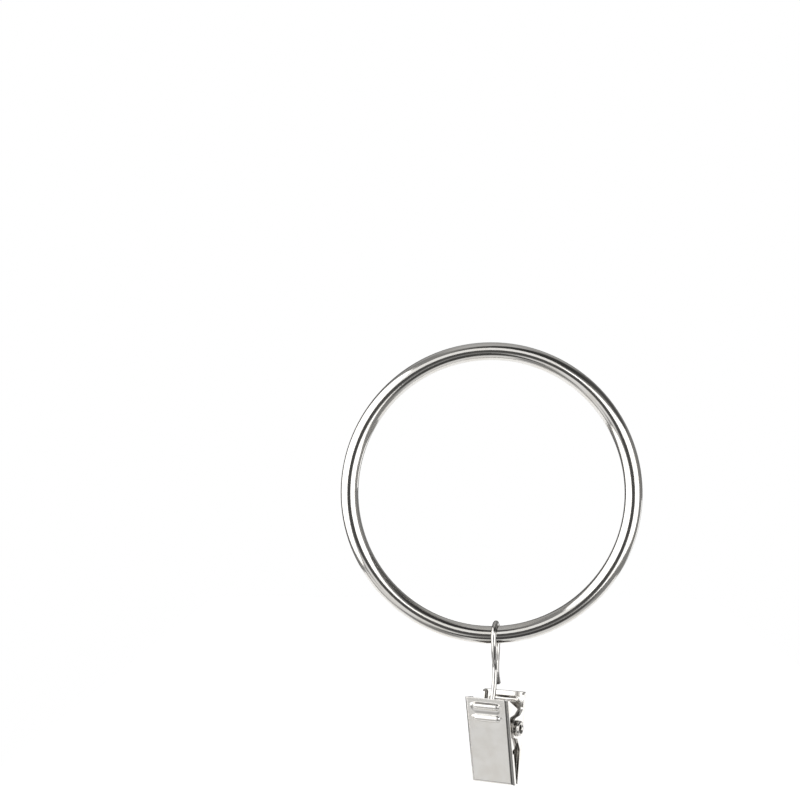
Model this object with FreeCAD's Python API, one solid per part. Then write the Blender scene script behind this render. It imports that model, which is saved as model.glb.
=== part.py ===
# Curtain ring with a hanging spring clip, in millimetres.
# Origin at the ring's centre, ring axis along Y, Z up, the clip's front plate towards -Y.
import FreeCAD, Part
import math
import os

from FreeCAD import Vector

# Ring: one closed hoop of round section
RING_INNER_R = 25.4
RING_WIRE_R = 1.7
RING_MID_R = RING_INNER_R + RING_WIRE_R

# Where the hook sits on the ring and how hook and clip are turned about Z
SEAT_X = 0.88
HOOK_TURN = 10.5
CLIP_TURN = 25.4

# Hook: one bent wire, loop over the ring and eye under the rivet
WIRE_R = 0.5
SEAT_GAP = 0.05
LOOP_PLAY = 0.35
HOOK_HEIGHT = 19.66
EYE_GAP = 0.08
TWIST_LOW = 4.0
TWIST_HIGH = 10.5

# Arcs of the hook in degrees from the +v direction: first, last and step
EYE_ARC = (5, -185, 27)
LOOP_ARC = (184, -4, 18.8)

# Way-points of the wire's middle line as (v, z), v across the clip's depth
# Stub and arm are measured from the rivet's axis, neck and free end from the loop's middle
STUB = ((0.2, 5.0), (0.8, 4.2), (1.45, 3.4), (1.9, 2.75), (2.02, 2.2), (1.85, 1.3))
ARM_LOW = ((-1.8, 1.3), (-2.02, 2.3), (-2.28, 3.15), (-2.2, 3.8))
ARM_HIGH = ((-1.95, 4.8), (-1.55, 6.2), (-1.22, 7.8), (-1.02, 9.4))
NECK = ((-1.02, -6.51), (-1.2, -5.31), (-1.75, -3.91), (-2.3, -2.21))
FREE_END = ((2.3, -2.21), (1.75, -3.91), (1.2, -5.31), (1.12, -6.41), (1.35, -7.71), (1.95, -9.21))

# Clip: heights are from the rivet's axis, depths from its middle plane
RISE = 6.07
DROP = 10.67
TOP_HALF = 5.0
TIP_HALF = 1.6
JAW_WIDTH = 8.73
SHEET = 0.5
BEND_R = 0.7
FLANGE = 1.35
EAR_GAP = 0.05

# Inner ears of the front jaw: joggled by one sheet above a relief slit
EAR_START = -4.6
JOGGLE_START = 0.85
JOGGLE_RUN = 0.55
SLIT = 0.25
INNER_EAR = ((3.3, 5.97, 0.6), (-2.85, 2.7, 0.9), (-2.35, -1.4, 1.4), (-1.3, -2.8, 0.4), (0.2, -4.3, 0.1))

# Outer ears of the back jaw: a round lobe about the rivet and a low scoop above it
LOBE_R = 1.95
LOBE_ROUND = 1.94
LOBE_BACK = 0.12
SCOOP = ((3.0, 0.9), (2.2, 0.6))
SCOOP_IN = 1.5
THROAT = -4.4
THROAT_ROUND = 0.34
SHOULDER_ROUND = 0.81

# Ribs pressed outward across each handle
RIB_DROPS = (1.45, 3.8)
RIB_HALF_LENGTH = 2.85
RIB_HALF_WIDTH = 0.72
RIB_RISE = 0.42
GROOVE_HALF_WIDTH = 0.5
GROOVE_DEPTH = 0.34
RIB_ROOT = 0.01

# Rivet: domed head on one side, rolled tail with its hole on the other
RIVET_R = 1.0
RIVET_FIT = 0.05
HEAD_R = 1.45
HEAD_RISE = 0.72
DOME_SHOULDER = (0.52, 0.96)
TAIL_RISE = 0.85
TAIL_HOLE_R = 0.7
TAIL_HOLE_DEPTH = 2.2
HOLE_TIP = 0.3

# Torsion spring round the rivet, in the room beside the hook's eye
SPRING_WIRE_R = 0.25
SPRING_GAP = 0.25
SPRING_SIDE_GAP = 0.1
SPRING_PITCH = 0.53
SPRING_POINTS = 12
LEG_TIP = (3.4, 3.0)

# Longer than any way across the clip, for cuts that go right through
THROUGH = 20.0

LOOP_MID_R = RING_WIRE_R + WIRE_R + LOOP_PLAY
SEAT_Z = -math.sqrt(RING_MID_R ** 2 - SEAT_X ** 2)
PIVOT_Z = SEAT_Z + RING_WIRE_R + SEAT_GAP + WIRE_R - HOOK_HEIGHT
SLOPE = (TOP_HALF - TIP_HALF) / (RISE + DROP)
LEAN = math.atan(SLOPE)
FACE_AT_PIVOT = TIP_HALF + DROP * SLOPE
HALF_WIDTH = JAW_WIDTH / 2
INNER_EAR_U = HALF_WIDTH - SHEET - EAR_GAP


def turned(shape, degrees):
    """Turn a clip-frame shape about Z and hang it on the rivet's axis."""
    shape = shape.copy()
    shape.rotate(Vector(0, 0, 0), Vector(0, 0, 1), -degrees)
    shape.translate(Vector(SEAT_X, 0, PIVOT_Z))
    return shape


def outline(corners):
    """Closed face in the plane u = 0 from (v, z, corner radius) corners."""
    edges = []
    ends = []
    count = len(corners)
    for i, (y, z, radius) in enumerate(corners):
        here = Vector(0, y, z)
        back = Vector(0, *corners[i - 1][:2]).sub(here).normalize()
        ahead = Vector(0, *corners[(i + 1) % count][:2]).sub(here).normalize()
        if radius == 0:
            ends.append((here, here))
            continue
        half = back.getAngle(ahead) / 2
        run = radius / math.tan(half)
        middle = back.add(ahead).normalize().multiply(radius / math.sin(half) - radius)
        first = here.add(Vector(back).multiply(run))
        last = here.add(Vector(ahead).multiply(run))
        edges.append(Part.Arc(first, here.add(middle), last).toShape())
        ends.append((first, last))
    for i in range(count):
        start = ends[i - 1][1]
        stop = ends[i][0]
        if start.distanceToPoint(stop) > 1e-6:
            edges.append(Part.makeLine(start, stop))
    return Part.Face(Part.Wire(Part.__sortEdges__(edges)))


def prism(corners, low, high):
    """Side outline carried across the clip from u = low to u = high."""
    face = outline(corners)
    face.translate(Vector(low, 0, 0))
    return face.extrude(Vector(high - low, 0, 0))


def on_plate(side, depth, along, u=0.0):
    """Point from a plate's outer face: depth inward, along the plate from the rivet's level."""
    out = FACE_AT_PIVOT + along * math.sin(LEAN) - depth * math.cos(LEAN)
    return Vector(u, side * out, along * math.cos(LEAN) + depth * math.sin(LEAN))


def face_at(z):
    """Distance of a plate's outer face from the middle plane at height z."""
    return TIP_HALF + (z + DROP) * SLOPE


def edge_at(z):
    """Distance of a flange's free edge from the middle plane at height z."""
    return face_at(z) - FLANGE / math.cos(LEAN)


def sided(side, corners):
    return [(side * y, z, radius) for y, z, radius in corners]


def tray(side, corners):
    """Folded sheet with a plate, two side walls of the given outline and a turned-in lip."""
    outer = prism(sided(side, corners), -HALF_WIDTH, HALF_WIDTH)
    low = Vector(0, side * TIP_HALF, -DROP)
    normal = Vector(0, side * math.cos(LEAN), -math.sin(LEAN))
    bends = []
    for edge in outer.Edges:
        ends = [vertex.Point for vertex in edge.Vertexes]
        on_face = all(abs(point.sub(low).dot(normal)) < 1e-4 for point in ends)
        if on_face and min(point.z for point in ends) < -DROP + 1e-3:
            bends.append(edge)
    outer = outer.makeFillet(BEND_R, bends)
    inside = SHEET / math.cos(LEAN)
    floor = -DROP + SHEET
    above = RISE + SHEET
    hollow = [
        (face_at(floor) - inside, floor, 0),
        (face_at(above) - inside, above, 0),
        (-THROUGH, above, 0),
        (-THROUGH, floor, 0),
    ]
    return outer.cut(prism(sided(side, hollow), SHEET - HALF_WIDTH, HALF_WIDTH - SHEET))


def capsule(side, depth, along, radius, half_length):
    """Round bar across the plate with ball ends, for a rib or its groove."""
    reach = half_length - radius
    middle = on_plate(side, depth, along)
    start = middle.sub(Vector(reach, 0, 0))
    bar = Part.makeCylinder(radius, 2 * reach, start, Vector(1, 0, 0))
    for u in (-reach, reach):
        bar = bar.fuse(Part.makeSphere(radius, middle.add(Vector(u, 0, 0))))
    return bar


def ribbed(jaw, side):
    """Press the ribs out of the handle, each with its groove inside."""
    rib_r = (RIB_HALF_WIDTH ** 2 + RIB_RISE ** 2) / (2 * RIB_RISE)
    groove_r = (GROOVE_HALF_WIDTH ** 2 + GROOVE_DEPTH ** 2) / (2 * GROOVE_DEPTH)
    beyond = [
        (face_at(-DROP) - RIB_ROOT, -DROP, 0),
        (face_at(RISE) - RIB_ROOT, RISE, 0),
        (face_at(RISE) + THROUGH, RISE, 0),
        (face_at(-DROP) + THROUGH, -DROP, 0),
    ]
    outside = prism(sided(side, beyond), -HALF_WIDTH, HALF_WIDTH)
    for drop in RIB_DROPS:
        along = (RISE - drop) / math.cos(LEAN)
        rib = capsule(side, rib_r - RIB_RISE, along, rib_r, RIB_HALF_LENGTH)
        jaw = jaw.fuse(rib.common(outside))
        depth = SHEET - GROOVE_DEPTH + groove_r
        groove = capsule(side, depth, along, groove_r, RIB_HALF_LENGTH + GROOVE_HALF_WIDTH - RIB_HALF_WIDTH)
        jaw = jaw.cut(groove)
    return jaw


def drilled(jaw):
    start = Vector(-THROUGH / 2, 0, 0)
    return jaw.cut(Part.makeCylinder(RIVET_R + RIVET_FIT, THROUGH, start, Vector(1, 0, 0)))


def back_jaw():
    """Jaw with flat outer ears that end in a round lobe."""
    (high, high_round), (low, low_round) = SCOOP
    corners = [
        (TIP_HALF, -DROP, 0),
        (TOP_HALF, RISE, 0),
        (edge_at(RISE), RISE, SHOULDER_ROUND),
        (edge_at(high), high, high_round),
        (SCOOP_IN, low, low_round),
        (-LOBE_R, LOBE_R, LOBE_ROUND),
        (-LOBE_R, -LOBE_R, LOBE_ROUND),
        (LOBE_BACK, -LOBE_R, LOBE_BACK),
        (edge_at(THROAT), THROAT, THROAT_ROUND),
        (edge_at(-DROP), -DROP, 0),
    ]
    return drilled(ribbed(tray(1, corners), 1)).removeSplitter()


def joggled_walls(side, corners):
    """Ear walls that step inward by one sheet, to run inside the other jaw's ears."""
    wall = HALF_WIDTH - SHEET
    step = JOGGLE_START + JOGGLE_RUN
    section = [
        (HALF_WIDTH, BEND_R),
        (HALF_WIDTH, JOGGLE_START),
        (INNER_EAR_U, step),
        (INNER_EAR_U, THROUGH),
        (INNER_EAR_U - SHEET, THROUGH),
        (INNER_EAR_U - SHEET, step),
        (wall, JOGGLE_START),
        (wall, BEND_R),
    ]
    low = EAR_START / math.cos(LEAN)
    points = [on_plate(side, depth, low, u) for u, depth in section]
    face = Part.Face(Part.makePolygon(points + points[:1]))
    run = on_plate(side, 0, THROUGH).sub(on_plate(side, 0, 0))
    right = face.extrude(run)
    left = right.mirror(Vector(0, 0, 0), Vector(1, 0, 0))
    shape = prism(sided(side, corners), -HALF_WIDTH, HALF_WIDTH)
    return [wall.common(shape) for wall in (left, right)]


def front_jaw():
    """Jaw with inner ears, joggled inward above a small relief notch."""
    corners = [(TIP_HALF, -DROP, 0), (TOP_HALF, RISE, 0)]
    corners += INNER_EAR
    corners += [(edge_at(EAR_START), EAR_START, 0), (edge_at(-DROP), -DROP, 0)]
    side = -1
    jaw = tray(side, corners)
    low = EAR_START / math.cos(LEAN) - SLIT
    ends = [(JOGGLE_START, low), (JOGGLE_START, THROUGH), (THROUGH, THROUGH), (THROUGH, low)]
    points = [on_plate(side, depth, along, -THROUGH / 2) for depth, along in ends]
    ear_zone = Part.Face(Part.makePolygon(points + points[:1])).extrude(Vector(THROUGH, 0, 0))
    jaw = jaw.cut(ear_zone)
    for wall in joggled_walls(side, corners):
        jaw = jaw.fuse(wall)
    return drilled(ribbed(jaw, side)).removeSplitter()


def rivet():
    """Semi-tubular rivet turned about the clip's cross axis."""
    seat = HALF_WIDTH + EAR_GAP
    tail = seat + TAIL_RISE
    head = seat + HEAD_RISE
    roll = (HEAD_R - TAIL_HOLE_R) / 2
    rim = HEAD_R - roll
    floor = tail - TAIL_HOLE_DEPTH
    points = [
        Vector(-head, 0, 0),
        Vector(-seat, 0, HEAD_R),
        Vector(-seat, 0, RIVET_R),
        Vector(seat, 0, RIVET_R),
        Vector(seat, 0, HEAD_R),
        Vector(tail - roll, 0, HEAD_R),
        Vector(tail - roll, 0, TAIL_HOLE_R),
        Vector(floor, 0, TAIL_HOLE_R),
        Vector(floor - HOLE_TIP, 0, 0),
    ]
    shoulder_out, shoulder_r = DOME_SHOULDER
    dome = Vector(-seat - shoulder_out, 0, shoulder_r)
    edges = [Part.Arc(points[0], dome, points[1]).toShape()]
    edges += [Part.makeLine(a, b) for a, b in zip(points[1:5], points[2:6])]
    edges.append(Part.Arc(points[5], Vector(tail, 0, rim), points[6]).toShape())
    edges += [Part.makeLine(a, b) for a, b in zip(points[6:], points[7:] + points[:1])]
    return Part.Face(Part.Wire(edges)).revolve(Vector(0, 0, 0), Vector(1, 0, 0), 360)


def swept(points, radius, across):
    """Round wire along a smooth curve through the points, bent about the across direction."""
    curve = Part.BSplineCurve()
    curve.interpolate(points)
    start = curve.value(curve.FirstParameter)
    along = curve.tangent(curve.FirstParameter)[0]
    pipe = Part.BRepOffsetAPI.MakePipeShell(Part.Wire(curve.toShape()))
    pipe.setBiNormalMode(across)
    pipe.add(Part.Wire(Part.makeCircle(radius, start, along)))
    pipe.build()
    pipe.makeSolid()
    return pipe.shape()


def arc_points(centre_z, radius, first, last, step):
    """(v, z) points on an arc, angles from the +v direction."""
    count = round(abs(last - first) / step)
    angles = [math.radians(first + (last - first) * i / count) for i in range(count + 1)]
    return [(radius * math.cos(a), centre_z + radius * math.sin(a)) for a in angles]


def hook():
    """Wire hook: stub, eye under the rivet, long arm, waist, loop over the ring, free end."""
    loop_z = HOOK_HEIGHT - LOOP_MID_R
    eye_r = RIVET_R + EYE_GAP + WIRE_R
    path = list(STUB)
    path += arc_points(0, eye_r, *EYE_ARC)
    path += ARM_LOW + ARM_HIGH
    path += [(v, loop_z + z) for v, z in NECK]
    path += arc_points(loop_z, LOOP_MID_R, *LOOP_ARC)
    path += [(v, loop_z + z) for v, z in FREE_END]
    points = []
    for v, z in path:
        share = min(max((z - TWIST_LOW) / (TWIST_HIGH - TWIST_LOW), 0), 1)
        turn = math.radians(CLIP_TURN + (HOOK_TURN - CLIP_TURN) * share)
        x = SEAT_X + v * math.sin(turn)
        points.append(Vector(x, v * math.cos(turn), PIVOT_Z + z))
    middle = math.radians((CLIP_TURN + HOOK_TURN) / 2)
    return swept(points, WIRE_R, Vector(math.cos(middle), -math.sin(middle), 0))


def spring():
    """Torsion spring: coil beside the hook's eye, one leg behind each handle."""
    radius = RIVET_R + SPRING_GAP + SPRING_WIRE_R
    tip_v, tip_z = LEG_TIP
    leave = math.atan2(tip_z, tip_v) - math.acos(radius / math.hypot(tip_v, tip_z))
    start = math.pi - leave
    part_turn = (math.pi + 2 * leave) / (2 * math.pi)
    first_u = WIRE_R + SPRING_SIDE_GAP + SPRING_WIRE_R
    room = INNER_EAR_U - SHEET - SPRING_SIDE_GAP - SPRING_WIRE_R - first_u
    turns = math.floor(room / SPRING_PITCH - part_turn) + part_turn
    last_u = first_u + SPRING_PITCH * turns
    steps = round(SPRING_POINTS * turns)
    foot = (radius * math.cos(leave), radius * math.sin(leave))
    points = []
    for share in (0, 0.33, 0.66):
        v = tip_v + (foot[0] - tip_v) * share
        z = tip_z + (foot[1] - tip_z) * share
        points.append(Vector(first_u, -v, z))
    for i in range(steps + 1):
        angle = start + 2 * math.pi * turns * i / steps
        u = first_u + (last_u - first_u) * i / steps
        points.append(Vector(u, radius * math.cos(angle), radius * math.sin(angle)))
    for share in (0.34, 0.67, 1):
        v = foot[0] + (tip_v - foot[0]) * share
        z = foot[1] + (tip_z - foot[1]) * share
        points.append(Vector(last_u, v, z))
    return swept(points, SPRING_WIRE_R, Vector(1, 0, 0))


def main():
    os.makedirs("parts", exist_ok=True)
    centre = Vector(0, 0, 0)
    nodes = {
        "ring": Part.makeTorus(RING_MID_R, RING_WIRE_R, centre, Vector(0, 1, 0)),
        "hook": hook(),
        "front_jaw": turned(front_jaw(), CLIP_TURN),
        "back_jaw": turned(back_jaw(), CLIP_TURN),
        "rivet": turned(rivet(), CLIP_TURN),
        "spring": turned(spring(), CLIP_TURN),
    }
    for name, shape in nodes.items():
        if len(shape.Solids) == 1:
            shape = shape.Solids[0]
        box = shape.BoundBox
        print(name, shape.isValid(), len(shape.Solids), round(shape.Volume, 2))
        print("  ", [round(x, 2) for x in (box.XMin, box.YMin, box.ZMin, box.XMax, box.YMax, box.ZMax)])
        shape.exportStep("parts/" + name + ".step")


main()
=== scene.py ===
# %% [markdown]
# # A curtain ring with its clip
# The real object is a closed hoop of plated wire. A bent wire hook hangs on it, and a small spring clip
# hangs on the hook and grips the top of a curtain.
# The frame holds every solid piece at its true size. Blender adds what the solids can't carry: the plated
# finish of each piece, the studio round it and the camera.

import math

import bpy
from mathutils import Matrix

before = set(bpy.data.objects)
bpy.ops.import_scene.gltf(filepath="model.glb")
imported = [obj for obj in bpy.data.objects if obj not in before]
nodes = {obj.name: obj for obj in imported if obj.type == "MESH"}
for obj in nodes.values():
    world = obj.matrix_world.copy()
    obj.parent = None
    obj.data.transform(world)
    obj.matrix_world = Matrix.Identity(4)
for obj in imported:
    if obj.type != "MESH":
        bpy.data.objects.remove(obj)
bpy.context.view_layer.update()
bpy.ops.object.select_all(action="DESELECT")
print("pieces:", sorted(nodes))

# %% [markdown]
# ## The camera
# The photograph looks straight at the ring: its outline is a true circle. The clip's upright edges lean a
# little, which a camera quite near the object explains. A camera could be placed by eye, but here its
# place, its small turn to the left and its lens were worked out from the ring's outline and the clip's
# corners, so that the object falls on nearly the same spot of the picture.

# %% Camera
CAMERA_PLACE = (-0.0072745, -0.2956527, 0.0169683)
CAMERA_TURN = 0.0343
CAMERA_TILT = 0.0027
LENS_MM = 69.52

camera_data = bpy.data.cameras.new("camera")
camera_data.lens = LENS_MM
camera_data.clip_start = 0.005
camera = bpy.data.objects.new("camera", camera_data)
camera.location = CAMERA_PLACE
camera.rotation_euler = (math.pi / 2 + CAMERA_TILT, 0.0, CAMERA_TURN)
bpy.context.scene.collection.objects.link(camera)
bpy.context.scene.camera = camera
bpy.context.scene.view_settings.view_transform = "Standard"
print("lens, mm:", LENS_MM)

# %% [markdown]
# ## Helpers for node trees
# A material or a world is a tree of nodes. Three short helpers keep the cells below readable: one adds a
# node and sets its plain values, one joins an output to an input, and one adds a sum as a Math node.

# %% Node helpers
def node(tree, kind, inputs=None, **settings):
    """Adds a node of that kind to the tree, with its settings and plain input values."""
    made = tree.nodes.new(kind)
    for name, value in settings.items():
        setattr(made, name, value)
    for name, value in (inputs or {}).items():
        made.inputs[name].default_value = value
    return made


def join(tree, start, end):
    """Joins an output socket to an input socket."""
    tree.links.new(start, end)


def maths(tree, operation, *values):
    """A Math node. Each value is a number or an output socket."""
    made = node(tree, "ShaderNodeMath", operation=operation)
    for side, value in zip(made.inputs, values):
        if isinstance(value, bpy.types.NodeSocket):
            join(tree, value, side)
        else:
            side.default_value = value
    return made.outputs[0]


print("node helpers are ready")

# %% [markdown]
# ## The studio
# Plated metal has hardly any colour of its own. What the eye reads on it is the room: white bands are
# soft boxes, light grey is the white backdrop, and the dark lines are the unlit side of the room behind
# the camera. So the room is built first. A photograph of a sky could light the object too, but a room of
# a few plain parts can be tuned until its bands come near the real ones.
# The world is the white backdrop. It has one plain strength for every kind of ray, so what the camera
# sees behind the object is also what the metal mirrors where the room lets it through.

# %% World
WHITE_BACKDROP = 1.0

world = bpy.data.worlds.new("studio")
bpy.context.scene.world = world
world.use_nodes = True
tree = world.node_tree
tree.nodes.clear()
background = node(tree, "ShaderNodeBackground", {"Color": (1, 1, 1, 1), "Strength": WHITE_BACKDROP})
output = node(tree, "ShaderNodeOutputWorld")
join(tree, background.outputs[0], output.inputs["Surface"])
print("world: white backdrop at", WHITE_BACKDROP)

# %% [markdown]
# Between the white backdrop and the camera stands the rest of the room. It could be built from many cards,
# but then every card would need its own place and size. Here it is one large sphere with a hole at the
# back, where the white backdrop shows through. The camera looks through it, because a view from another
# side would otherwise see only wall.

# %% Room
ROOM_RADIUS = 1.5
BACKDROP_HALF_ANGLE = 9

bpy.ops.object.select_all(action="DESELECT")
bpy.ops.mesh.primitive_uv_sphere_add(segments=64, ring_count=32, radius=ROOM_RADIUS, location=(0, 0, 0))
room = bpy.context.object
room.name = "room"
bpy.ops.object.mode_set(mode="EDIT")
bpy.ops.mesh.select_all(action="SELECT")
hole = ROOM_RADIUS * math.cos(math.radians(BACKDROP_HALF_ANGLE))
bpy.ops.mesh.bisect(plane_co=(0, hole, 0), plane_no=(0, 1, 0), clear_outer=True)
bpy.ops.object.mode_set(mode="OBJECT")
room.visible_camera = False
print("room faces:", len(room.data.polygons))

# %% [markdown]
# The room's walls are grey, and what stands before them is painted on in soft ovals: a pale floor and
# ceiling, dark places behind the camera and high on the right, and a few small cards low at the front.
# An image could be painted for it too, but ovals with a place, a size and a grey are easy to change. Each
# one was moved and dimmed until its band on the metal came near the real one.

# %% Room paint
WALL_GREY = 0.30
OVAL_EDGE = (1.25, 0.75)

# Where each patch is seen from the object, in degrees right of the camera and up: its middle, its half
# width and half height, and its grey, in the order they are painted
PATCHES = (
    ("floor side", 0, -90, 400, 42, 0.92),
    ("ceiling", 0, 90, 400, 20, 0.60),
    ("high back wall", 180, 56, 60, 20, 0.50),
    ("low back wall", 172, -24, 34, 14, 0.60),
    ("left back wall", -148, 4, 34, 38, 0.15),
    ("right back wall", 136, 14, 30, 22, 0.26),
    ("high right", 42, 54, 58, 19, 0.05),
    ("right corner", 96, 36, 32, 16, 0.09),
    ("behind the camera", -8, 0, 20, 16, 0.09),
    ("dark floor edge", -44, -60, 28, 15, 0.30),
    ("tripod", 8, -40, 34, 16, 0.07),
    ("low left card", -50, -39, 32, 8, 0.97),
    ("low front card", -20, -26, 18, 11, 1.05),
)

paint = bpy.data.materials.new("room_paint")
paint.use_nodes = True
tree = paint.node_tree
surface = tree.nodes["Principled BSDF"]
surface.inputs["Base Color"].default_value = (0, 0, 0, 1)
surface.inputs["Roughness"].default_value = 1.0
surface.inputs["Specular IOR Level"].default_value = 0.0
surface.inputs["Emission Color"].default_value = (1, 1, 1, 1)

place = node(tree, "ShaderNodeTexCoord")
parts = node(tree, "ShaderNodeSeparateXYZ")
join(tree, place.outputs["Object"], parts.inputs[0])
right = maths(tree, "ARCTAN2", parts.outputs["X"], maths(tree, "MULTIPLY", parts.outputs["Y"], -1.0))
rise = maths(tree, "ARCSINE", maths(tree, "DIVIDE", parts.outputs["Z"], ROOM_RADIUS))


def patch_mask(tree, azimuth, elevation, half_width, half_height):
    """1 inside a soft-edged oval on the room's wall, 0 outside."""
    away = maths(tree, "SUBTRACT", right, math.radians(azimuth))
    wrapped = maths(tree, "WRAP", away, math.pi, -math.pi)
    above = maths(tree, "SUBTRACT", rise, math.radians(elevation))
    oval = node(tree, "ShaderNodeCombineXYZ")
    join(tree, maths(tree, "DIVIDE", wrapped, math.radians(half_width)), oval.inputs["X"])
    join(tree, maths(tree, "DIVIDE", above, math.radians(half_height)), oval.inputs["Y"])
    length = node(tree, "ShaderNodeVectorMath", operation="LENGTH")
    join(tree, oval.outputs[0], length.inputs[0])
    soft = node(tree, "ShaderNodeMapRange", {"From Min": OVAL_EDGE[0], "From Max": OVAL_EDGE[1]},
                interpolation_type="SMOOTHSTEP")
    join(tree, length.outputs["Value"], soft.inputs["Value"])
    return soft.outputs["Result"]


grey = node(tree, "ShaderNodeValue")
grey.outputs[0].default_value = WALL_GREY
grey = grey.outputs[0]
for name, azimuth, elevation, half_width, half_height, level in PATCHES:
    mixed = node(tree, "ShaderNodeMix", {"B": level}, label=name)
    join(tree, patch_mask(tree, azimuth, elevation, half_width, half_height), mixed.inputs["Factor"])
    join(tree, grey, mixed.inputs["A"])
    grey = mixed.outputs["Result"]
join(tree, grey, surface.inputs["Emission Strength"])
room.data.materials.append(paint)
print("room patches:", len(PATCHES))

# %% [markdown]
# Soft boxes are large lamps behind white cloth. Each is an area lamp a metre away, turned to face the
# middle of the ring. The lamp's power is worked out from how bright its cloth should look, where 1 is
# plain white, because that brightness is what the metal mirrors. A lamp hides nothing from a mirror: the
# grey of the wall behind it is added to its own brightness.

# %% Soft boxes
from mathutils import Vector

LAMP_DISTANCE = 1.0
WATTS_FOR_WHITE = math.pi  # an area lamp with this many watts per square metre mirrors as plain white


def soft_box(name, azimuth, elevation, width, height, brightness, shape="RECTANGLE"):
    """A soft box seen from the object at that azimuth, in degrees right of the camera, and elevation."""
    turn, rise = math.radians(azimuth), math.radians(elevation)
    towards = Vector((math.sin(turn) * math.cos(rise), -math.cos(turn) * math.cos(rise), math.sin(rise)))
    data = bpy.data.lights.new(name, "AREA")
    data.shape = shape
    data.size = 2 * LAMP_DISTANCE * math.tan(math.radians(width / 2))
    data.size_y = 2 * LAMP_DISTANCE * math.tan(math.radians(height / 2))
    area = data.size * data.size_y * (math.pi / 4 if shape == "ELLIPSE" else 1)
    data.energy = WATTS_FOR_WHITE * area * brightness
    lamp = bpy.data.objects.new(name, data)
    lamp.location = towards * LAMP_DISTANCE
    lamp.rotation_euler = towards.to_track_quat("Z", "Y").to_euler()
    lamp.visible_camera = False
    bpy.context.scene.collection.objects.link(lamp)
    print(name, "size, m:", round(data.size, 2), round(data.size_y, 2), "watts:", round(data.energy, 1))


soft_box("left soft box", -73, 11, 96, 84, 1.783, shape="ELLIPSE")
soft_box("right soft box", 44, 1, 58, 46, 1.757)
soft_box("top soft box", -6, 30, 50, 28, 0.891)
soft_box("low back strip", 130, -13, 22, 16, 1.273)

# %% [markdown]
# The floor is a sheet of white card well below the clip. It is pale in its own colour, and Light Path adds
# the rest of the white where the camera or a mirror looks at it, so it needs no extra light and can still
# take a soft shadow. It ends just behind the ring, because the real metal shows a dark band just below
# the camera.

# %% Floor
FLOOR_Z = -0.17
FLOOR_FRONT = 0.02
FLOOR_BACK = 1.2
FLOOR_HALF_WIDTH = 0.24
FLOOR_GLOW = 0.62
CARD_WHITE = (0.92, 0.92, 0.92, 1)

bpy.ops.mesh.primitive_plane_add(size=1, location=(0, 0, 0))
floor = bpy.context.object
floor.name = "floor"
for vertex in floor.data.vertices:
    vertex.co.x = math.copysign(FLOOR_HALF_WIDTH, vertex.co.x)
    vertex.co.y = FLOOR_BACK if vertex.co.y > 0 else FLOOR_FRONT
    vertex.co.z = FLOOR_Z

card = bpy.data.materials.new("white_card")
card.use_nodes = True
tree = card.node_tree
surface = tree.nodes["Principled BSDF"]
surface.inputs["Base Color"].default_value = CARD_WHITE
surface.inputs["Roughness"].default_value = 0.8
ray = node(tree, "ShaderNodeLightPath")
mirror = maths(tree, "MAXIMUM", ray.outputs["Is Camera Ray"], ray.outputs["Is Glossy Ray"])
mirror = maths(tree, "MAXIMUM", mirror, ray.outputs["Is Transmission Ray"])
surface.inputs["Emission Color"].default_value = (1, 1, 1, 1)
join(tree, maths(tree, "MULTIPLY", mirror, FLOOR_GLOW), surface.inputs["Emission Strength"])
floor.data.materials.append(card)
print("floor, mm below the ring's middle:", round(-FLOOR_Z * 1000))

# %% [markdown]
# ## What every plated piece shares
# The plate is taken as nickel over steel, because the photograph shows a bright, faintly warm grey. It is
# a thin, very even coat. Up close two things break its evenness: faint lines left by drawing and
# polishing, and cloudy patches where fingers have dulled the shine. A third effect is painted shade: a
# darker tint in corners and narrow gaps, where little light reaches. Each effect is a shader node group
# with named inputs, built once and placed in every material that the recipe below makes.
# The polish lines are one fine noise. It gives a height for the bump, and its highest spots give a mask
# of the scratches.

# %% Group: polish lines
def socket(group, name, kind, in_or_out, value=None):
    """Adds one named socket to a node group."""
    made = group.interface.new_socket(name=name, in_out=in_or_out, socket_type=kind)
    if value is not None:
        made.default_value = value


def new_group(name):
    """An empty node group with its input and output nodes."""
    group = bpy.data.node_groups.new(name, "ShaderNodeTree")
    return group, group.nodes.new("NodeGroupInput"), group.nodes.new("NodeGroupOutput")


lines_group, inside, outside = new_group("polish_lines")
socket(lines_group, "Vector", "NodeSocketVector", "INPUT")
socket(lines_group, "Lines per metre", "NodeSocketFloat", "INPUT", 9000.0)
socket(lines_group, "Height", "NodeSocketFloat", "OUTPUT")
socket(lines_group, "Mask", "NodeSocketFloat", "OUTPUT")
fine = node(lines_group, "ShaderNodeTexNoise", {"Detail": 3.0, "Roughness": 0.6})
join(lines_group, inside.outputs["Vector"], fine.inputs["Vector"])
join(lines_group, inside.outputs["Lines per metre"], fine.inputs["Scale"])
scratch = node(lines_group, "ShaderNodeMapRange", {"From Min": 0.60, "From Max": 0.72})
join(lines_group, fine.outputs["Fac"], scratch.inputs["Value"])
join(lines_group, fine.outputs["Fac"], outside.inputs["Height"])
join(lines_group, scratch.outputs["Result"], outside.inputs["Mask"])
print("group:", lines_group.name)

# %% [markdown]
# Handling leaves two things: wide soft clouds and tiny dull specks. The clouds are a slow noise. The
# specks are small dots round the points of a Voronoi texture, about five to the width of a cloud.

# %% Group: handling haze
SPECKS_TO_A_CLOUD = 5.0

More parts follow.
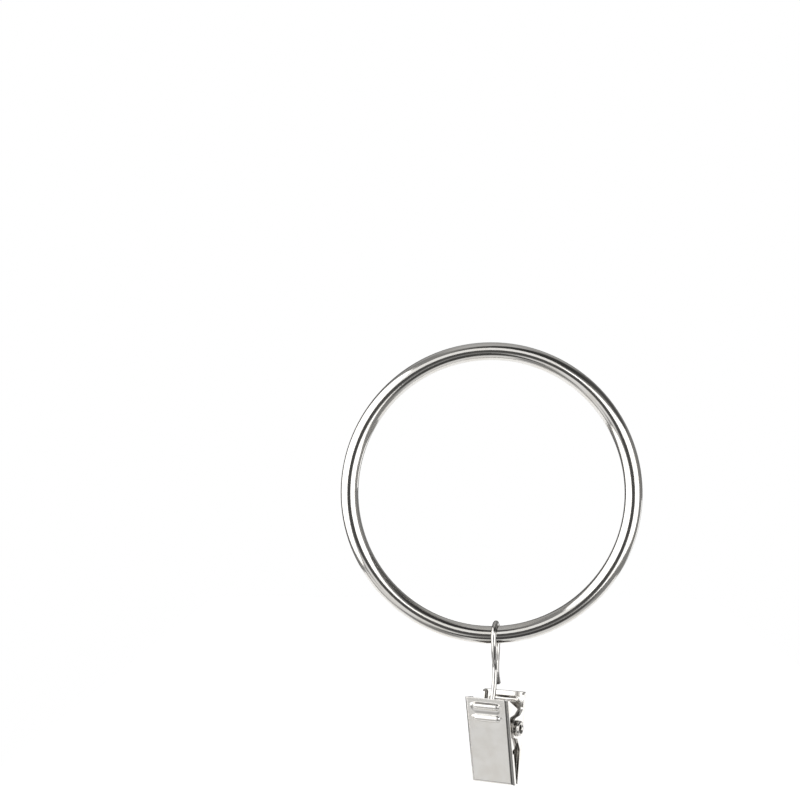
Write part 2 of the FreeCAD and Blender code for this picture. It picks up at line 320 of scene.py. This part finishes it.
haze_group, inside, outside = new_group("handling_haze")
socket(haze_group, "Vector", "NodeSocketVector", "INPUT")
socket(haze_group, "Patches per metre", "NodeSocketFloat", "INPUT", 300.0)
socket(haze_group, "Haze", "NodeSocketFloat", "OUTPUT")
socket(haze_group, "Specks", "NodeSocketFloat", "OUTPUT")
cloud = node(haze_group, "ShaderNodeTexNoise", {"Detail": 4.0, "Roughness": 0.55, "Distortion": 0.4})
join(haze_group, inside.outputs["Vector"], cloud.inputs["Vector"])
join(haze_group, inside.outputs["Patches per metre"], cloud.inputs["Scale"])
soft = node(haze_group, "ShaderNodeMapRange", {"From Min": 0.35, "From Max": 0.70},
            interpolation_type="SMOOTHSTEP")
join(haze_group, cloud.outputs["Fac"], soft.inputs["Value"])
join(haze_group, soft.outputs["Result"], outside.inputs["Haze"])
dots = node(haze_group, "ShaderNodeTexVoronoi", {"Scale": 1.0})
dot_scale = node(haze_group, "ShaderNodeVectorMath", operation="SCALE")
join(haze_group, inside.outputs["Vector"], dot_scale.inputs[0])
speck_scale = maths(haze_group, "MULTIPLY", inside.outputs["Patches per metre"], SPECKS_TO_A_CLOUD)
join(haze_group, speck_scale, dot_scale.inputs["Scale"])
join(haze_group, dot_scale.outputs[0], dots.inputs["Vector"])
small = node(haze_group, "ShaderNodeMapRange", {"From Min": 0.10, "From Max": 0.04})
join(haze_group, dots.outputs["Distance"], small.inputs["Value"])
join(haze_group, small.outputs["Result"], outside.inputs["Specks"])
print("group:", haze_group.name)

# %% [markdown]
# Shade falls in corners and where two pieces nearly touch, and this group paints it into the colour as a
# darker tint. Ambient Occlusion finds such places by itself: it looks a short way round each spot and says
# how open it is. A painted mask could do it too, but would have to be made anew for each piece.

# %% Group: painted shade in the corners
painted_shade_group, inside, outside = new_group("corner_painted_shade")
socket(painted_shade_group, "Reach", "NodeSocketFloat", "INPUT", 0.0006)
socket(painted_shade_group, "Painted shade", "NodeSocketFloat", "OUTPUT")
near = node(painted_shade_group, "ShaderNodeAmbientOcclusion", samples=16)
join(painted_shade_group, inside.outputs["Reach"], near.inputs["Distance"])
# The less open a spot is, the more its tint is darkened: painted shade in corners and gaps.
closed = node(painted_shade_group, "ShaderNodeMapRange", {"From Min": 0.80, "From Max": 0.30})
join(painted_shade_group, near.outputs["AO"], closed.inputs["Value"])
join(painted_shade_group, closed.outputs["Result"], outside.inputs["Painted shade"])
print("group:", painted_shade_group.name)

# %% [markdown]
# Cut and folded edges of real sheet are never quite sharp: they are rounded by about a tenth of a
# millimetre, and that round line catches the light. The solids keep their edges sharp, so the Bevel node
# bends the shading near each edge instead.

# %% Group: soft edge
edge_group, inside, outside = new_group("soft_edge")
socket(edge_group, "Radius", "NodeSocketFloat", "INPUT", 0.0001)
socket(edge_group, "Normal", "NodeSocketVector", "OUTPUT")
rounded = node(edge_group, "ShaderNodeBevel", samples=6)
join(edge_group, inside.outputs["Radius"], rounded.inputs["Radius"])
join(edge_group, rounded.outputs["Normal"], outside.inputs["Normal"])
print("group:", edge_group.name)

# %% [markdown]
# ## The plated finish
# One recipe serves every piece, with its own tint, shine and reach of the painted shade: the Principled
# shader at full Metallic, a tint that painted shade in the corners darkens, a roughness that the haze, the
# specks and the scratches raise, and a very slight bump from the polish lines. The lines run round the
# ring, along the wire and down the handles of the jaws, so each piece gives the recipe its own pattern
# coordinates.

# %% Plated nickel
# How far the painted shade in corners darkens the tint, in red, green and blue
PAINTED_SHADE_SHARE = (0.34, 0.32, 0.29)
HAZE_SHARE = (0.955, 0.945, 0.925, 1)
SPECK_DULLING = 0.12
POLISH_BUMP = 0.02
POLISH_DEPTH = 0.0001


def plated(name, tint, roughness, haze, lines, pattern, shade_reach=0.0006, edge=0.0, relief=None):
    """A metal material. haze and lines say how much each raises the roughness."""
    material = bpy.data.materials.new(name)
    material.use_nodes = True
    tree = material.node_tree
    surface = tree.nodes["Principled BSDF"]
    surface.inputs["Metallic"].default_value = 1.0
    place = node(tree, "ShaderNodeTexCoord")
    along = pattern(tree, place.outputs["Object"])

    polish = node(tree, "ShaderNodeGroup", node_tree=lines_group)
    join(tree, along, polish.inputs["Vector"])
    handling = node(tree, "ShaderNodeGroup", node_tree=haze_group)
    join(tree, place.outputs["Object"], handling.inputs["Vector"])
    corner_shade = node(tree, "ShaderNodeGroup", {"Reach": shade_reach}, node_tree=painted_shade_group)

    dull = maths(tree, "MULTIPLY_ADD", handling.outputs["Haze"], haze, roughness)
    scratched = maths(tree, "MULTIPLY_ADD", polish.outputs["Mask"], lines, dull)
    spotted = maths(tree, "MULTIPLY_ADD", handling.outputs["Specks"], SPECK_DULLING, scratched)
    join(tree, spotted, surface.inputs["Roughness"])

    # Painted shade: the tint darkens towards these shares where Ambient Occlusion finds a corner or a gap
    shaded_tint = tuple(channel * share for channel, share in zip(tint, PAINTED_SHADE_SHARE))
    tint_with_shade = node(tree, "ShaderNodeMix", data_type="RGBA")
    tint_with_shade.inputs["A"].default_value = (*tint, 1)
    tint_with_shade.inputs["B"].default_value = (*shaded_tint, 1)
    join(tree, corner_shade.outputs["Painted shade"], tint_with_shade.inputs["Factor"])
    hazed = node(tree, "ShaderNodeMix", data_type="RGBA", blend_type="MULTIPLY")
    hazed.inputs["B"].default_value = HAZE_SHARE
    join(tree, handling.outputs["Haze"], hazed.inputs["Factor"])
    join(tree, tint_with_shade.outputs["Result"], hazed.inputs["A"])
    join(tree, hazed.outputs["Result"], surface.inputs["Base Color"])

    fine = node(tree, "ShaderNodeBump", {"Strength": POLISH_BUMP, "Distance": POLISH_DEPTH})
    join(tree, polish.outputs["Height"], fine.inputs["Height"])
    if edge:
        soft = node(tree, "ShaderNodeGroup", {"Radius": edge}, node_tree=edge_group)
        join(tree, soft.outputs["Normal"], fine.inputs["Normal"])
    last = fine
    if relief:
        last = node(tree, "ShaderNodeBump", {"Strength": 1.0, "Distance": 1.0})
        join(tree, relief(tree, place.outputs["Object"]), last.inputs["Height"])
        join(tree, fine.outputs["Normal"], last.inputs["Normal"])
    join(tree, last.outputs["Normal"], surface.inputs["Normal"])
    return material


print("the plated recipe is ready")

# %% [markdown]
# ## The ring
# Such a ring is usually drawn wire bent to a hoop, welded and polished. Its faint lines run round the
# hoop. A texture laid straight through the ring would cut across it, so the pattern is given in the ring's
# own measures instead: the angle round the hoop, stretched, and the two directions across the wire.

# %% Ring finish
RING_MIDDLE_RADIUS = 0.0271
SLOW_ROUND = 0.05


def round_the_ring(tree, place):
    """Coordinates that run slowly round the hoop and quickly across its wire."""
    parts = node(tree, "ShaderNodeSeparateXYZ")
    join(tree, place, parts.inputs[0])
    angle = maths(tree, "ARCTAN2", parts.outputs["Z"], parts.outputs["X"])
    length = node(tree, "ShaderNodeVectorMath", operation="LENGTH")
    flat = node(tree, "ShaderNodeCombineXYZ")
    join(tree, parts.outputs["X"], flat.inputs["X"])
    join(tree, parts.outputs["Z"], flat.inputs["Z"])
    join(tree, flat.outputs[0], length.inputs[0])
    measures = node(tree, "ShaderNodeCombineXYZ")
    join(tree, maths(tree, "MULTIPLY", angle, RING_MIDDLE_RADIUS * SLOW_ROUND), measures.inputs["X"])
    join(tree, parts.outputs["Y"], measures.inputs["Y"])
    join(tree, length.outputs["Value"], measures.inputs["Z"])
    return measures.outputs[0]


ring_nickel = plated("ring_nickel", tint=(0.66, 0.645, 0.62), roughness=0.09, haze=0.05, lines=0.06,
                     pattern=round_the_ring)
print("ring finish:", ring_nickel.name)

# %% [markdown]
# ## The hook's wire, the rivet and the spring
# The photograph shows the hook's wire a shade greyer than the ring. The rivet's painted shade reaches
# further, so it is darker where it meets the ear. The spring is out of sight, so its finish is a guess:
# plain hardened steel, greyer than the plate.

# %% Finishes of the small pieces
def stretched(x, y, z):
    """Pattern coordinates that are squeezed along one direction, so lines run that way."""
    def pattern(tree, place):
        scaled = node(tree, "ShaderNodeMapping")
        scaled.inputs["Scale"].default_value = (x, y, z)
        join(tree, place, scaled.inputs["Vector"])
        return scaled.outputs[0]
    return pattern


wire_nickel = plated("wire_nickel", tint=(0.59, 0.575, 0.555), roughness=0.07, haze=0.04, lines=0.06,
                     pattern=stretched(1, 1, 0.08))
# The rivet's painted shade reaches a full millimetre round it
rivet_nickel = plated("rivet_nickel", tint=(0.64, 0.625, 0.60), roughness=0.08, haze=0.06, lines=0.06,
                      pattern=stretched(1, 1, 1), shade_reach=0.0010)
spring_steel = plated("spring_steel", tint=(0.45, 0.45, 0.46), roughness=0.22, haze=0.08, lines=0.08,
                      pattern=stretched(1, 1, 1))
print("finishes:", wire_nickel.name, rivet_nickel.name, spring_steel.name)

# %% [markdown]
# ## The jaws
# The jaws are stamped from sheet, folded and plated. Pressing a rib leaves the sheet slightly drawn in
# round it, a soft slope that the solids don't carry and that shows as a grey band between the ribs. It
# could be modelled as a dent in the mesh, but a bump does it without touching the solid: its height rises
# smoothly towards each rib, over a longer way below it than above. The ribs lie across the handle, so a
# Mapping node first undoes the clip's turn.

# %% Jaw finish
CLIP_TURN = math.radians(25.4)
SEAT_X = 0.00088
PIVOT_Z = -0.0444957

# Each rib's middle above the rivet, and how far the sheet is drawn in round it
RIBS = ((0.00462, 0.00014), (0.00227, 0.00005))
RIB_REACH = 0.00213
DRAW_IN_FROM = 0.0019
DRAW_IN_TO = 0.0006
STEEPER_ABOVE = 3.0
STEEPER_BESIDE = 1.5


def clip_directions(tree, place):
    """The clip's own coordinates from the rivet: across, through and up, in metres."""
    turned = node(tree, "ShaderNodeMapping")
    turned.inputs["Rotation"].default_value = (0, 0, CLIP_TURN)
    turned.inputs["Location"].default_value = (
        -SEAT_X * math.cos(CLIP_TURN), -SEAT_X * math.sin(CLIP_TURN), -PIVOT_Z)
    join(tree, place, turned.inputs["Vector"])
    return turned.outputs[0]


def drawn_in(tree, place):
    """Height of the soft slope that the press leaves round the ribs."""
    parts = node(tree, "ShaderNodeSeparateXYZ")
    join(tree, clip_directions(tree, place), parts.inputs[0])
    beyond = maths(tree, "SUBTRACT", maths(tree, "ABSOLUTE", parts.outputs["X"]), RIB_REACH)
    beyond = maths(tree, "MULTIPLY", maths(tree, "MAXIMUM", beyond, 0.0), STEEPER_BESIDE)
    total = 0.0
    for height, depth in RIBS:
        offset = node(tree, "ShaderNodeCombineXYZ")
        join(tree, beyond, offset.inputs["X"])
        above = maths(tree, "SUBTRACT", parts.outputs["Z"], height)
        steep = maths(tree, "MULTIPLY", above, STEEPER_ABOVE)
        below = maths(tree, "MULTIPLY", above, -1.0)
        join(tree, maths(tree, "MAXIMUM", steep, below), offset.inputs["Y"])
        distance = node(tree, "ShaderNodeVectorMath", operation="LENGTH")
        join(tree, offset.outputs[0], distance.inputs[0])
        slope = node(tree, "ShaderNodeMapRange", {"From Min": DRAW_IN_FROM, "From Max": DRAW_IN_TO},
                     interpolation_type="SMOOTHSTEP")
        slope.inputs["To Max"].default_value = depth
        join(tree, distance.outputs["Value"], slope.inputs["Value"])
        total = maths(tree, "MAXIMUM", slope.outputs["Result"], total)
    return total


def down_the_handle(tree, place):
    """The clip's coordinates, squeezed so that polish lines run down the handle."""
    return stretched(1, 1, 0.12)(tree, clip_directions(tree, place))


# The jaws' painted shade reaches 0.8 mm into their corners and gaps
jaw_nickel = plated("jaw_nickel", tint=(0.68, 0.665, 0.64), roughness=0.13, haze=0.03, lines=0.03,
                    pattern=down_the_handle, shade_reach=0.0008, edge=0.00012, relief=drawn_in)
print("jaw finish:", jaw_nickel.name)

# %% [markdown]
# ## The pieces get their finish
# Each solid has one finish all over, as plating has, so one material a piece is enough. Both jaws are cut
# from the same kind of sheet and share theirs.

# %% Put the finishes on
FINISHES = {
    "ring": ring_nickel,
    "hook": wire_nickel,
    "front_jaw": jaw_nickel,
    "back_jaw": jaw_nickel,
    "rivet": rivet_nickel,
    "spring": spring_steel,
}
for name, finish in FINISHES.items():
    nodes[name].data.materials.clear()
    nodes[name].data.materials.append(finish)
    print(name, "->", finish.name, len(nodes[name].data.polygons), "faces")
